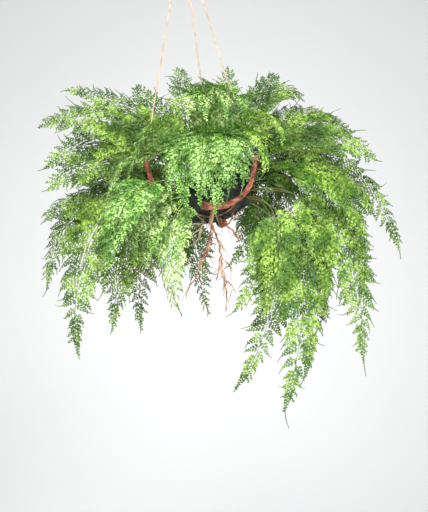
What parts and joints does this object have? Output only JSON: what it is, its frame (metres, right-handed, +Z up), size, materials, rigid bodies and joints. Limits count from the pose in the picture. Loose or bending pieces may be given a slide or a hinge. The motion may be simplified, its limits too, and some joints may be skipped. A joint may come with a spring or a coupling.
{
  "type": "hanging kokedama moss ball plant",
  "caption": "Lace fern growing on a moss ball that lies in a cradle of twisted vines and hangs on thin cords from a loop, with aerial roots trailing below.",
  "frame": {"origin": "inside top of the hanging loop, where a hook carries it", "axes": "+Z up along the hanging line, +X to the right seen from the front, +Y to the back"},
  "size_m": [0.756, 0.5357, 1.0161],
  "materials": {
    "moss": "matte",
    "vine": "matte",
    "cord": "matte",
    "root": "matte",
    "pale_root": "matte",
    "frond": "satin",
    "front_frond": "satin"
  },
  "bodies": {
    "root": {"vine_right": "vine", "vine_left": "vine", "vine_back": "vine", "hitch_left": "cord", "cord_left": "cord", "hitch_right": "cord", "cord_right": "cord", "hitch_back": "cord", "cord_back": "cord", "gathering_knot": "cord", "roots_front": "root", "roots_right": "root", "roots_pale": "pale_root", "roots_left": "root", "frond_01": "front_frond", "frond_02": "front_frond", "frond_03": "front_frond", "frond_04": "front_frond", "frond_05": "front_frond", "frond_06": "front_frond", "frond_07": "front_frond", "frond_08": "front_frond", "frond_09": "frond", "frond_10": "frond", "frond_11": "frond", "frond_12": "frond", "frond_13": "frond", "frond_14": "frond", "frond_15": "frond", "frond_16": "frond", "frond_17": "frond", "frond_18": "frond", "frond_19": "frond", "frond_20": "frond", "frond_21": "frond", "frond_22": "frond", "frond_23": "frond", "frond_24": "frond", "frond_25": "frond", "frond_26": "frond", "frond_27": "frond", "frond_28": "frond", "frond_29": "frond", "frond_30": "frond", "frond_31": "frond", "frond_32": "frond", "frond_33": "frond", "frond_34": "frond", "frond_35": "frond", "frond_36": "frond", "frond_37": "frond", "frond_38": "frond", "frond_39": "frond", "frond_40": "frond", "frond_41": "frond", "frond_42": "frond", "frond_43": "frond", "frond_44": "frond", "frond_45": "frond", "moss_ball": "moss"}
  },
  "joints": []
}
